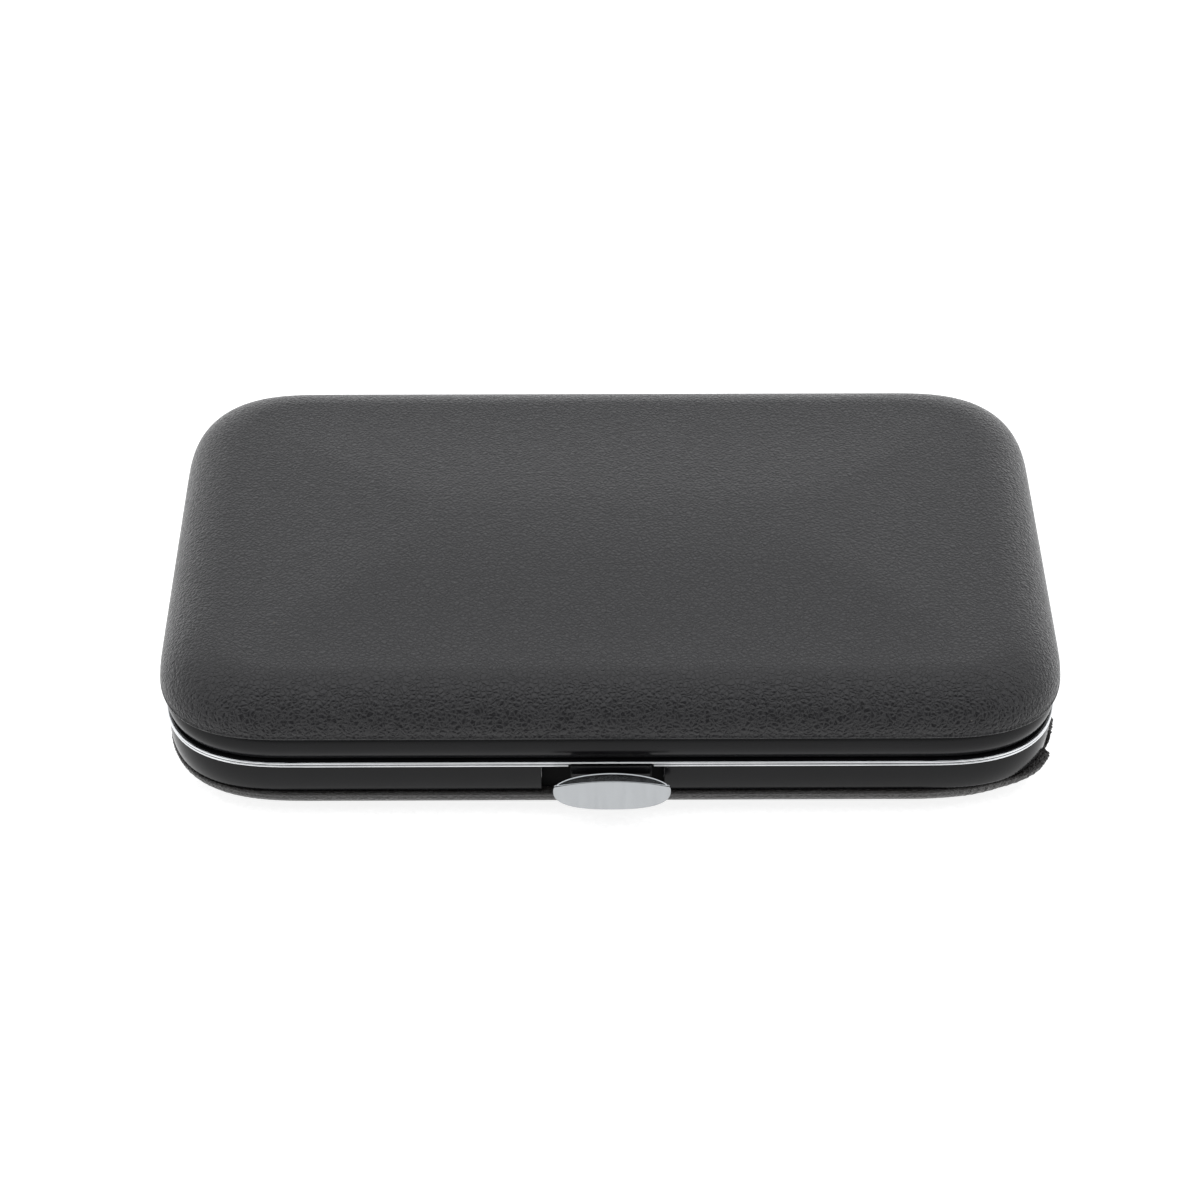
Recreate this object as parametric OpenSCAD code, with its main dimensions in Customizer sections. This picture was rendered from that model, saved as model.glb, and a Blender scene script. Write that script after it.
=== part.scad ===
// Framed manicure case: a padded clamshell with a chrome rim, a black band,
// a press plate latch and small tools held under loops inside.
// Millimetres. Z up, the case rests on z = 0, the latch faces -Y,
// the hinge runs along X at +Y. Drawn closed.

/* [Case] */
// Width over the leather
case_w = 118; // [108:1:130]
// Depth over the leather
case_d = 76; // [72:1:84]
// Size of the rounded corners seen from above
corner_r = 19.5; // [16:0.5:24]
// Squareness of the corner curve, 2 is a circle
corner_pw = 2.9; // [2.2:0.1:3.2]
// Height of the base up to the parting line
base_h = 9.3; // [9.2:0.1:11]
// Height of the pad on the lid, from its edge to the flat of the top
pad_rise = 6.5; // [5:0.1:8]
// How far the rounding of the lid pad reaches in from its edge
pad_inset = 8; // [5:0.5:12]
// Extra bulge in the middle of the lid pad
pad_crown = 1.3; // [0:0.1:2]
// How far the rounding of the base pad reaches in from its edge
sole_inset = 10.5; // [10.5:0.5:18]

/* [Skin and rim] */
// Thickness of the leather
leather_t = 0.8; // [0.6:0.1:1]
// Thickness of the stiff boards under the pads
board_t = 1.2; // [1:0.1:1.4]
// Height of the band between rim and leather
band_h = 4.0; // [3.8:0.1:4.6]
// How far the lid band stands in from the leather edge, at its top
band_in = 0.55; // [0.5:0.05:0.8]
// How far the lid band stands in from the leather edge, at its foot
band_foot = 1.35; // [1.2:0.05:1.6]
// How far the base band stands in from the leather edge of the lid
band_in_b = 0.85; // [0.8:0.05:1.1]
// How far the base leather stands in from that of the lid
base_set = 0.8; // [0.6:0.1:1]
// How far the chrome lip stands in from the leather edge
lip_in = 0.6; // [0.4:0.1:0.9]
// Thickness of the rim sheet
sheet_t = 0.3; // [0.2:0.05:0.4]

/* [Hinge and latch] */
// Radius of the hinge barrel
barrel_r = 1.0; // [0.9:0.05:1.1]
// Radius of the hinge pin
pin_r = 0.5; // [0.4:0.05:0.55]
// Width of the oval press plate
plate_w = 15.1; // [13:0.1:15.5]
// Height of the press plate below its fold
plate_h = 4.1; // [3.6:0.05:4.3]
// Depth of the press plate's top, folded back to the case
plate_top = 1.43; // [1.3:0.01:1.5]
// Backward lean of the press plate, degrees
plate_tilt = 12; // [10:1:18]
// Backward lean of its folded top, degrees
fold_tilt = 78; // [74:1:82]
// Width of the tongue behind the press plate
tongue_w = 10.4; // [9:0.1:11.4]

/* [Tools] */
// Inner radius of the scissor finger rings
ring_ri = 8.6; // [7.5:0.1:9]
// Length of the nail file
file_l = 92; // [80:1:94]
// Length of the cuticle pusher
pusher_l = 86; // [70:1:90]

/* [Hidden] */

$fn = 48;
e = 0.02;                      // air between pieces that lie on each other
zp = base_h;                   // parting line
gap = 0.06;                    // half the gap between the two lips
ze_t = zp + band_h + 0.4;      // leather edge of the lid
ze_b = zp - band_h - 0.8;      // leather edge of the base
hx = case_w / 2;
hy = case_d / 2;
wall_o = 2.45;                 // rim wall, distance in from the leather edge
wall_i = 3.0;
fl_i = 5.2;                    // inner edge of the rim flange
yh = hy - 0.1;                 // hinge line
bore_r = pin_r + 0.04;
lid_fl = ze_t - e - 0.38;      // underside of the lid flange
base_fl = ze_b + e + 0.38;     // top of the base flange
lining_t = 0.38;
lid_in = lid_fl - e - lining_t;     // ceiling of the inside
base_in = base_fl + e + lining_t;   // floor lining
card_z = base_in + e;
card_top = card_z + 0.6;

black = [0.04, 0.04, 0.045];
leather_c = [0.09, 0.09, 0.095];
chrome_c = [0.78, 0.78, 0.8];
steel_c = [0.62, 0.63, 0.65];
lining_c = [0.32, 0.05, 0.07];
foam_c = [0.85, 0.83, 0.75];
card_c = [0.5, 0.45, 0.36];

// ---------- outline of the case seen from above, stepped in by s ----------
cs = 9;
function corner_pt(cx, cy, r, t, q) =
  let (c = pow(max(cos(t), 0), 2 / corner_pw) * r, s = pow(max(sin(t), 0), 2 / corner_pw) * r)
  q == 0 ? [cx + c, cy + s] : q == 1 ? [-cx - s, cy + c] :
  q == 2 ? [-cx - c, -cy - s] : [cx + s, -cy - c];
function outline_pts(s) =
  let (r = max(corner_r - s, 4), cx = hx - s - r, cy = hy - s - r)
  [for (q = [0:3]) for (i = [0:cs]) corner_pt(cx, cy, r, 90 * i / cs, q)];

module outline(s) polygon(outline_pts(s));
module slab(s, z, h) translate([0, 0, z]) linear_extrude(height = h) outline(s);
module ring(so, si, z, h)
  translate([0, 0, z]) linear_extrude(height = h) difference() { outline(so); outline(si); }

// padded shape: rises from ze by rise towards d (1 up, -1 down),
// its side curving in by inset
module dome(d, s, ze, rise, inset, crown, t0, low) hull() {
  if (low > 0) slab(s + 0.3, ze - d * low - 0.005, 0.01);
  for (k = [0:7]) let (t = t0 + (90 - t0) * k / 7)
    slab(s + inset * (1 - cos(t)), ze + d * (rise * sin(t) - 0.005) - 0.005, 0.01);
  if (crown > 0) {
    slab(s + inset + 7, ze + d * (rise + crown * 0.62 - 0.005) - 0.005, 0.01);
    slab(s + inset + 14, ze + d * (rise + crown * 0.9 - 0.005) - 0.005, 0.01);
    slab(s + inset + 21, ze + d * (rise + crown - 0.005) - 0.005, 0.01);
  }
}
module below(z) translate([0, 0, z]) mirror([0, 0, 1]) children();

module bx(x0, x1, y0, y1, z0, z1)
  translate([x0, y0, z0]) cube([x1 - x0, y1 - y0, z1 - z0]);

// ---------- lid ----------
module top_cover_leather() color(leather_c) difference() {
  dome(1, 0, ze_t, pad_rise, pad_inset, pad_crown, 0, 0);
  dome(1, leather_t, ze_t, pad_rise - leather_t, pad_inset, pad_crown, 0, 1);
}
foam_rt = pad_rise - leather_t - 0.05;
foam_rb = ze_b - leather_t - 0.16;
module top_foam_pad() color(foam_c)
  dome(1, leather_t + 0.05, ze_t, foam_rt, pad_inset, pad_crown,
       asin((board_t + e) / foam_rt), 0);
module top_board() color(card_c) difference() {
  slab(leather_t + 0.3, ze_t, board_t);
  rivets(ze_t - 1, board_t + 2, 0.92);
}

rivet_x = hx - 15;
module rivets(z, h, r) for (p = [
    [rivet_x, hy - 4.1], [-rivet_x, hy - 4.1], [rivet_x, 4.1 - hy], [-rivet_x, 4.1 - hy],
    [hx - 4.1, 14], [hx - 4.1, -14], [4.1 - hx, 14], [4.1 - hx, -14]])
  translate([p[0], p[1], z]) cylinder(r = r, h = h);

// room for the hinge barrels in both bands
module hinge_room() bx(-30.3, 30.3, hy - 1.45, hy + 1, zp - 1.35, zp + 1.35);
module upper_band() color(black) difference() {
  union() {
    ring(band_foot, wall_o - e, zp + 0.42, band_h - 0.04);
    ring((band_in + band_foot) / 2, wall_o - e, zp + 0.87, band_h - 0.49);
    ring(band_in, wall_o - e, zp + 1.7, band_h - 1.32);
  }
  hinge_room();
}
knuckles_l = [[-17.9, -6.1], [6.1, 17.9]];
knuckles_b = [[-30, -18.1], [-5.9, 5.9], [18.1, 30]];
module barrels(list, r) for (k = list)
  translate([k[0], yh, zp]) rotate([0, 90, 0]) cylinder(r = r, h = k[1] - k[0]);

module upper_frame() color(chrome_c) difference() {
  union() {
    difference() {
      ring(lip_in, wall_i, zp + gap, sheet_t);
      bx(-30.2, 30.2, hy - 1.35, hy + 1, zp, zp + 1);
    }
    ring(wall_o, wall_i, zp + gap, ze_t - e - zp - gap);
    ring(wall_o, fl_i, lid_fl, 0.38);
    for (k = knuckles_l) bx(k[0], k[1], hy - 2.8, yh, zp + gap, zp + gap + sheet_t);
    barrels(knuckles_l, barrel_r);
  }
  translate([-31, yh, zp]) rotate([0, 90, 0]) cylinder(r = bore_r, h = 62);
  rivets(lid_fl - 1, 3, 0.92);
  bx(-3.7, 3.7, -hy + 2, -hy + 3.5, zp + 0.9, zp + 2.2);
}
module lid_rivets() color(steel_c) rivets(lid_fl, ze_t + board_t - lid_fl, 0.9);
module lid_lining() color(lining_c) slab(wall_i + 0.05, lid_in, lining_t);

// flat strap loop around a tool: inner width y0..y1, inner height up to z1
module loop(x0, x1, y0, y1, z0, z1, t, f0, f1) {
  difference() {
    bx(x0, x1, y0 - t, y1 + t, z0, z1 + t);
    bx(x0 - 1, x1 + 1, y0, y1, z0 - 1, z1);
  }
  if (f0 > 0) bx(x0, x1, y0 - t - f0, y0, z0, z0 + 0.4);
  if (f1 > 0) bx(x0, x1, y1, y1 + t + f1, z0, z0 + 0.4);
}
tz = zp + 2.0;                 // underside of the lid tools
file_y = 10;
push_y = 24.5;
module lid_loops() color(leather_c) below(0) {
  for (x = [-31, 20]) loop(x, x + 6, file_y - 5, file_y + 5, -lid_in + e, -tz + 0.08, 0.5, 1.6, 1.6);
  for (x = [-17, 22]) loop(x, x + 6, push_y - 1.7, push_y + 1.7, -lid_in + e, -tz + 0.5, 0.5, 1.6, 1.6);
}
file_x = file_l / 2;
module file_handle() color(black) translate([0, file_y, 0]) difference() {
  translate([0, 0, tz]) linear_extrude(height = 1.5)
    polygon([[-file_x, -1.6], [-file_x + 2, -3.4], [-file_x + 12, -4.5], [-16, -4.2],
             [-8, -3.4], [-8, 3.4], [-16, 4.2], [-file_x + 12, 4.5], [-file_x + 2, 3.4], [-file_x, 1.6]]);
  bx(-20 - e, 0, -2.2 - e, 2.2 + e, tz + 0.4 - e, tz + 1.1 + e);
}
module file_blade() color(steel_c) translate([0, file_y, tz + 0.4]) linear_extrude(height = 0.7)
  polygon([[-20, -2.2], [-8 + e, -2.2], [-8 + e, -3.1], [30, -3.1], [file_x - 5, -2.2],
           [file_x - 1, -0.9], [file_x, 0], [file_x - 1, 0.9], [file_x - 5, 2.2],
           [30, 3.1], [-8 + e, 3.1], [-8 + e, 2.2], [-20, 2.2]]);
module cuticle_pusher() color(steel_c) translate([0, push_y, tz + 0.58]) {
  translate([-pusher_l / 2 + 11, 0, 0]) rotate([0, 90, 0]) cylinder(r = 0.95, h = pusher_l - 23);
  translate([pusher_l / 2 - 12, 0, 0]) rotate([0, 90, 0]) cylinder(r1 = 0.95, r2 = 0.25, h = 12);
  translate([0, 0, -0.35]) linear_extrude(height = 0.7)
    polygon([[-pusher_l / 2 + 14, -0.8], [-pusher_l / 2 + 9, -2.2], [-pusher_l / 2 + 2, -2.6],
             [-pusher_l / 2 + 0.5, -1.7], [-pusher_l / 2, 0], [-pusher_l / 2 + 0.5, 1.7],
             [-pusher_l / 2 + 2, 2.6], [-pusher_l / 2 + 9, 2.2], [-pusher_l / 2 + 14, 0.8]]);
}

// ---------- base ----------
module bottom_cover_leather() color(leather_c) difference() {
  dome(-1, base_set, ze_b, ze_b, sole_inset, 0, 0, 0);
  dome(-1, base_set + leather_t, ze_b, ze_b - leather_t, sole_inset, 0, 0, 1);
}
module bottom_foam_pad() color(foam_c)
  dome(-1, base_set + leather_t + 0.05, ze_b, foam_rb, sole_inset, 0, asin((board_t + e) / foam_rb), 0);
module bottom_board() color(card_c) difference() {
  slab(base_set + leather_t + 1.2, ze_b - board_t, board_t);
  rivets(ze_b - 3, 4, 0.92);
}
module lower_band() color(black) difference() {
  union() {
    ring(band_in_b, wall_o - e, ze_b + 0.3, zp - 0.38 - ze_b - 0.3);
    ring(band_in_b + 0.2, wall_o - e, ze_b + e, zp - 0.38 - ze_b - e);
  }
  bx(-9, 6.9, -hy - 1, -hy + 4, ze_b - 1, zp);
  hinge_room();
}
module lower_frame() color(chrome_c) difference() {
  union() {
    difference() {
      ring(lip_in, wall_i, zp - gap - sheet_t, sheet_t);
      bx(-30.2, 30.2, hy - 1.35, hy + 1, zp - 1, zp);
    }
    ring(wall_o, wall_i, ze_b + e, zp - gap - ze_b - e);
    ring(wall_o, fl_i, ze_b + e, 0.38);
    for (k = knuckles_b) bx(k[0], k[1], hy - 2.8, yh, zp - gap - sheet_t, zp - gap);
    barrels(knuckles_b, barrel_r);
  }
  translate([-31, yh, zp]) rotate([0, 90, 0]) cylinder(r = bore_r, h = 62);
  rivets(base_fl - 2, 3, 0.92);
  bx(-tongue_w / 2 - 0.2, tongue_w / 2 + 0.2, -hy - 1, -hy + 3.5, zp - 0.6, zp + 1);
}
module base_rivets() color(steel_c) rivets(ze_b - board_t, base_fl - ze_b + board_t, 0.9);
module base_lining() color(lining_c) slab(wall_i + 0.05, base_fl + e, lining_t);
module tool_card() color(lining_c) difference() {
  slab(wall_i + 1.4, card_z, 0.6);
  bx(-8.3, 8.3, -hy, -hy + 8.6, card_z - 1, card_z + 2);
}
module hinge_pin() color(steel_c)
  translate([-30, yh, zp]) rotate([0, 90, 0]) cylinder(r = pin_r, h = 60);

// ---------- latch ----------
tw = tongue_w / 2;
tz0 = zp - 0.5;                // underside of the tongue
gy0 = -hy + wall_i + 0.05;     // front of the guide block
module latch_guide() color(black) {
  bx(-8, 8, gy0, gy0 + 5.2, base_in + e, tz0 - 0.05);
  for (m = [0, 1]) mirror([m, 0, 0]) bx(tw + 0.1, 8, gy0, gy0 + 5.2, base_in + e, zp - 0.1);
  bx(-8, 8, gy0 + 4.6, gy0 + 5.2, base_in + e, zp - 0.1);
}
// dark plate that closes the cut-out of the band behind the press plate
module latch_shroud() color(black)
  bx(-9 + e, 6.9 - e, -hy + wall_o - e - 0.38, -hy + wall_o - e, ze_b + e, zp - 0.62);
module latch_spring() color(steel_c) translate([0, gy0 + 2.82, tz0]) linear_extrude(height = 0.35)
  polygon([[-5, 1.6], [-4.9, 1.76], [-1.2, 0.22], [1.2, 0.22], [4.9, 1.76], [5, 1.6],
           [1.3, 0.04], [-1.3, 0.04]]);
// the press plate is a bent oval sheet, set by the middle of its fold
py = -hy - 1.85;
pz = zp - 0.9;
plate_t = 0.6;
half_w = plate_w / 2;
low_c = 1.3;                   // the oval is widest this far below the fold
function rnd(t, q) = pow(max(t, 0), 2 / q);
function low_pt(t) = [half_w * rnd(sin(t), 2.9), -low_c - (plate_h - low_c) * rnd(cos(t), 2.9)];
function top_pt(t) = [half_w * sin(t), -low_c + (plate_top + low_c) * cos(t)];
// where the oval crosses the fold
fold_a = acos(low_c / (plate_top + low_c));
function oval_low() = concat(
  [for (i = [0:9]) low_pt(i * 10)],
  [for (i = [1:6]) top_pt(90 - (90 - fold_a) * i / 6)]);
function oval_top() = [for (i = [0:10]) top_pt(fold_a * (1 - i / 10))];
module both_sides(pts, t) linear_extrude(height = t)
  polygon(concat(pts, [for (i = [len(pts) - 1:-1:0]) if (pts[i][0] > 0.001) [-pts[i][0], pts[i][1]]]));
module on_plate(a) translate([0.1, py, pz]) rotate([90 - a, 0, 0]) children();
module thumb_plate() color(chrome_c) {
  on_plate(plate_tilt) translate([0, 0, -plate_t]) both_sides(oval_low(), plate_t);
  on_plate(fold_tilt) translate([0, 0, -plate_t - 0.03]) both_sides(oval_top(), plate_t);
}
module latch_tongue() color(black) difference() {
  union() {
    bx(-tw, tw, -hy + 0.05, gy0 + 2.8, tz0, zp - 0.1);
    bx(-tw, tw, -hy + 0.05, -hy + 0.45, zp - 1.6, zp - 0.1);
    on_plate(fold_tilt) translate([-tw + 0.1, plate_top - 0.55, -plate_t - 0.45]) cube([tongue_w - 0.4, 1.15, 0.4]);
  }
  for (x = [-1.8, 1.8]) translate([x, gy0 + 1.6, tz0 - 1]) cylinder(r = 0.52, h = 3);
}
module latch_hook() color(steel_c) difference() {
  union() {
    bx(-3.2, 3.2, gy0 + 0.3, gy0 + 2.7, zp - 0.08, zp + 0.3);
    bx(-3.2, 3.2, gy0 + 0.3, gy0 + 0.8, zp - 0.08, zp + 1.7);
    bx(-3.2, 3.2, gy0 - 0.4, gy0 + 0.8, zp + 1.0, zp + 1.7);
  }
  for (x = [-1.8, 1.8]) translate([x, gy0 + 1.6, tz0 - 1]) cylinder(r = 0.52, h = 3);
}
module latch_rivets() color(steel_c) for (x = [-1.8, 1.8]) translate([x, gy0 + 1.6, 0]) {
  translate([0, 0, tz0]) cylinder(r = 0.5, h = zp + 0.3 - tz0);
  translate([0, 0, zp + 0.32]) cylinder(r = 0.85, h = 0.3);
  translate([0, 0, zp + 0.2]) cylinder(r = 0.5, h = 0.2);
}

// ---------- tools in the base ----------
px0 = 16;                      // scissor pivot
py0 = 3;
sz = card_top + 0.05;
st = 1.25;
ring_ro = ring_ri + 1.8;
module half_blade(z) translate([0, 0, z]) linear_extrude(height = st)
  polygon([[-5, -2.6], [-1, -3.6], [4, -3.7], [16, -3.1], [25, -1.7], [30, -0.2], [30.4, 0.5],
           [25, 1.0], [10, 1.8], [3, 3.0], [-1, 3.6], [-5, 3.4], [-14, 4.4], [-18, 4.9], [-18, 1.3], [-14, 0.9], [-7, 0.3]]);
module half_handle() translate([0, 0, 0]) {
  linear_extrude(height = 2 * st + 0.05)
    polygon([[-17, 1.2], [-17, 4.8], [-30, 6.9], [-41, 9.4], [-42, 5.2], [-30, 2.9]]);
  translate([-50, 11, 0]) cylinder(r = ring_ro, h = 2 * st + 0.05);
}
module scissor_half(up) difference() {
  union() {
    half_blade(up ? st + 0.05 : 0);
    half_handle();
  }
  translate([-50, 11, -1]) cylinder(r = ring_ri, h = 5);
  translate([0, 0, -1]) cylinder(r = 1.24, h = 5);
}
module scissor_half_a() color(steel_c) translate([px0, py0, sz]) scissor_half(false);
module scissor_half_b() color(steel_c) translate([px0, py0, sz]) mirror([0, 1, 0]) scissor_half(true);
module scissor_screw() color(chrome_c) translate([px0, py0, sz]) difference() {
  union() {
    cylinder(r = 1.2, h = 2 * st + 0.1);
    translate([0, 0, 2 * st + 0.08]) cylinder(r = 2.3, h = 0.45);
  }
  bx(-3, 3, -0.25, 0.25, 2 * st + 0.33, 4);
}
module scissor_loops() color(leather_c) {
  loop(px0 + 8, px0 + 15, py0 - 4.5, py0 + 8.8, card_top + e, sz + 2 * st + 0.35, 0.6, 1.8, 1.8);
  loop(px0 - 26, px0 - 20, py0 + 1.5, py0 + 6.6, card_top + e, sz + 2 * st + 0.35, 0.6, 0, 1.8);
}
tw_y = 29.7;
module tweezers() color(steel_c) translate([0, tw_y, sz]) for (m = [0, 1]) mirror([0, m, 0])
  linear_extrude(height = 3.1)
    polygon([[-42, 0], [-41.6, 0.9], [-38, 1.7], [-20, 3.2], [5, 3.9], [25, 2.7], [36, 1.1], [38, 0.35],
             [38, 0.2], [35, 0.2], [24.6, 1.75], [5, 3.0], [-20, 2.3], [-36, 0.7], [-37, 0]]);
module tweezer_loop() color(leather_c)
  loop(-12, -5, tw_y - 4.1, tw_y + 4.1, card_top + e, sz + 3.2, 0.6, 1.6, 0);

// ---------- one line per node ----------
top_cover_leather();
top_foam_pad();
top_board();
upper_band();
upper_frame();
lid_rivets();
lid_lining();
lid_loops();
file_blade();
file_handle();
cuticle_pusher();
bottom_cover_leather();
bottom_foam_pad();
bottom_board();
lower_band();
lower_frame();
base_rivets();
base_lining();
tool_card();
hinge_pin();
latch_guide();
latch_shroud();
latch_spring();
latch_tongue();
thumb_plate();
latch_hook();
latch_rivets();
scissor_half_a();
scissor_half_b();
scissor_screw();
scissor_loops();
tweezers();
tweezer_loop();
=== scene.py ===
import math

import bmesh
import bpy
from mathutils import Matrix, Vector


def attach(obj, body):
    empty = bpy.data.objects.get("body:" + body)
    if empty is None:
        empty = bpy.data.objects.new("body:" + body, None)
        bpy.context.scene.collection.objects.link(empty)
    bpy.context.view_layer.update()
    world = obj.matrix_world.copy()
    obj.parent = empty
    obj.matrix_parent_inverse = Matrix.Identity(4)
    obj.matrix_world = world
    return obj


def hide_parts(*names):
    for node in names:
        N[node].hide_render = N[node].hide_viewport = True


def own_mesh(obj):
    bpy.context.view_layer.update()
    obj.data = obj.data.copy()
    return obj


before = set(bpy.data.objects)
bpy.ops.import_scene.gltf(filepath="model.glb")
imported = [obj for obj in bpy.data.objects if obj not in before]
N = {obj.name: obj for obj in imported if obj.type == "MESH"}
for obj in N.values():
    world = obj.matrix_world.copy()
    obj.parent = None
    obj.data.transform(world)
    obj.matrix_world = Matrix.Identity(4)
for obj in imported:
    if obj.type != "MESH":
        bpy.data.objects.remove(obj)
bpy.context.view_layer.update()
MM = 0.001

# sizes of the CAD model, in mm
HX, HY, CR, PW = 59.0, 38.0, 19.5, 2.9
CR_SKIN = 18.8         # the leather is a little fuller in the corners than the frame
ZP = 9.3
ZT = ZP + 4.4          # leather edge of the lid
ZB = ZP - 4.8          # leather edge of the base
RISE, INSET, CROWN = 6.5, 8.0, 1.3
SOLE = 9.5
SET = 0.65             # how far the base leather stands in from that of the lid
YH = HY - 0.1


# ---------------------------------------------------------------- materials
def new_mat(name):
    m = bpy.data.materials.new(name)
    m.use_nodes = True
    nt = m.node_tree
    b = nt.nodes["Principled BSDF"]
    return m, nt, b


def node(nt, kind, **kw):
    n = nt.nodes.new(kind)
    for k, v in kw.items():
        if k in n.inputs:
            n.inputs[k].default_value = v
        else:
            setattr(n, k, v)
    return n


def ramp(nt, src, stops):
    r = nt.nodes.new("ShaderNodeValToRGB")
    e = r.color_ramp.elements
    e[0].position, e[0].color = stops[0][0], stops[0][1]
    e[1].position, e[1].color = stops[-1][0], stops[-1][1]
    for p, c in stops[1:-1]:
        x = e.new(p)
        x.color = c
    nt.links.new(src, r.inputs[0])
    return r


def grey(v, a=1.0):
    return (v, v, v, a)


def mathn(nt, op, a, b):
    m = nt.nodes.new("ShaderNodeMath")
    m.operation = op
    for i, x in enumerate((a, b)):
        if isinstance(x, (int, float)):
            m.inputs[i].default_value = x
        else:
            nt.links.new(x, m.inputs[i])
    return m.outputs[0]


def leather(name, tint=(0.0105, 0.0102, 0.0111), pitch=0.66, depth=0.17, rough=(0.28, 0.36), dust=True):
    m, nt, b = new_mat(name)
    L = nt.links.new
    tc = node(nt, "ShaderNodeTexCoord").outputs["Object"]
    warp = node(nt, "ShaderNodeTexNoise", Scale=900.0, Detail=1.0)
    L(tc, warp.inputs["Vector"])
    sub = nt.nodes.new("ShaderNodeVectorMath")
    sub.operation = "SUBTRACT"
    L(warp.outputs["Color"], sub.inputs[0])
    sub.inputs[1].default_value = (0.5, 0.5, 0.5)
    sc = nt.nodes.new("ShaderNodeVectorMath")
    sc.operation = "SCALE"
    sc.inputs["Scale"].default_value = 0.0007
    L(sub.outputs[0], sc.inputs[0])
    add = nt.nodes.new("ShaderNodeVectorMath")
    add.operation = "ADD"
    L(tc, add.inputs[0])
    L(sc.outputs[0], add.inputs[1])
    v = node(nt, "ShaderNodeTexVoronoi", Scale=1000.0 / pitch)
    v.feature = "DISTANCE_TO_EDGE"
    L(add.outputs[0], v.inputs["Vector"])
    cell = ramp(nt, v.outputs["Distance"], [(0.0, grey(0.0)), (0.12, grey(0.5)), (0.3, grey(0.86)), (0.5, grey(1.0))])
    fine = node(nt, "ShaderNodeTexNoise", Scale=6500.0, Detail=3.0)
    L(tc, fine.inputs["Vector"])
    soft = node(nt, "ShaderNodeTexNoise", Scale=240.0, Detail=3.0)
    L(tc, soft.inputs["Vector"])
    wrinkle = node(nt, "ShaderNodeTexNoise", Scale=1350.0, Detail=1.0, Distortion=1.1)
    L(tc, wrinkle.inputs["Vector"])
    h = mathn(nt, "ADD", mathn(nt, "MULTIPLY", cell.outputs[0], 0.6),
              mathn(nt, "ADD", mathn(nt, "MULTIPLY", wrinkle.outputs["Fac"], 0.8),
                    mathn(nt, "MULTIPLY", fine.outputs["Fac"], 0.03)))
    bp = node(nt, "ShaderNodeBump", Strength=1.0, Distance=depth * MM)
    L(h, bp.inputs["Height"])
    broad = node(nt, "ShaderNodeBump", Strength=0.35, Distance=0.12 * MM)
    L(soft.outputs["Fac"], broad.inputs["Height"])
    L(bp.outputs[0], broad.inputs["Normal"])
    L(broad.outputs[0], b.inputs["Normal"])
    # pores are a little darker and rougher than the tops of the pebbles
    lo = tuple(c * 0.62 for c in tint) + (1,)
    hi = tuple(c * 1.2 for c in tint) + (1,)
    col = ramp(nt, mathn(nt, "ADD", mathn(nt, "MULTIPLY", cell.outputs[0], 0.55),
                         mathn(nt, "MULTIPLY", soft.outputs["Fac"], 0.45)),
               [(0.15, lo), (0.85, hi)])
    out = col.outputs[0]
    if dust:
        sp = node(nt, "ShaderNodeTexVoronoi", Scale=190.0)
        L(tc, sp.inputs["Vector"])
        dot = ramp(nt, sp.outputs["Distance"], [(0.012, grey(0.55)), (0.03, grey(0.0))])
        pick = ramp(nt, sp.outputs["Color"], [(0.72, grey(0.0)), (0.78, grey(1.0))])
        amt = mathn(nt, "MULTIPLY", dot.outputs[0], pick.outputs[0])
        mx = nt.nodes.new("ShaderNodeMix")
        mx.data_type = "RGBA"
        L(amt, mx.inputs[0])
        L(out, mx.inputs[6])
        mx.inputs[7].default_value = (0.30, 0.27, 0.22, 1)
        out = mx.outputs[2]
    L(out, b.inputs["Base Color"])
    rr = ramp(nt, cell.outputs[0], [(0.0, grey(rough[1])), (1.0, grey(rough[0]))])
    L(rr.outputs[0], b.inputs["Roughness"])
    b.inputs["Specular IOR Level"].default_value = 0.38
    return m


def satin(name, col=(0.012, 0.012, 0.0135), rough=(0.22, 0.34), coat=0.0, bump=0.006, spec=0.5):
    m, nt, b = new_mat(name)
    L = nt.links.new
    tc = node(nt, "ShaderNodeTexCoord").outputs["Object"]
    n1 = node(nt, "ShaderNodeTexNoise", Scale=140.0, Detail=4.0)
    L(tc, n1.inputs["Vector"])
    n2 = node(nt, "ShaderNodeTexNoise", Scale=5200.0, Detail=2.0)
    L(tc, n2.inputs["Vector"])
    c = ramp(nt, n1.outputs["Fac"], [(0.3, tuple(x * 0.8 for x in col) + (1,)), (0.7, tuple(x * 1.25 for x in col) + (1,))])
    L(c.outputs[0], b.inputs["Base Color"])
    r = ramp(nt, n1.outputs["Fac"], [(0.3, grey(rough[0])), (0.7, grey(rough[1]))])
    L(r.outputs[0], b.inputs["Roughness"])
    bp = node(nt, "ShaderNodeBump", Strength=0.5, Distance=bump * MM)
    L(n2.outputs["Fac"], bp.inputs["Height"])
    L(bp.outputs[0], b.inputs["Normal"])
    b.inputs["Coat Weight"].default_value = coat
    b.inputs["Specular IOR Level"].default_value = spec
    b.inputs["Coat Roughness"].default_value = 0.12
    return m


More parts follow.
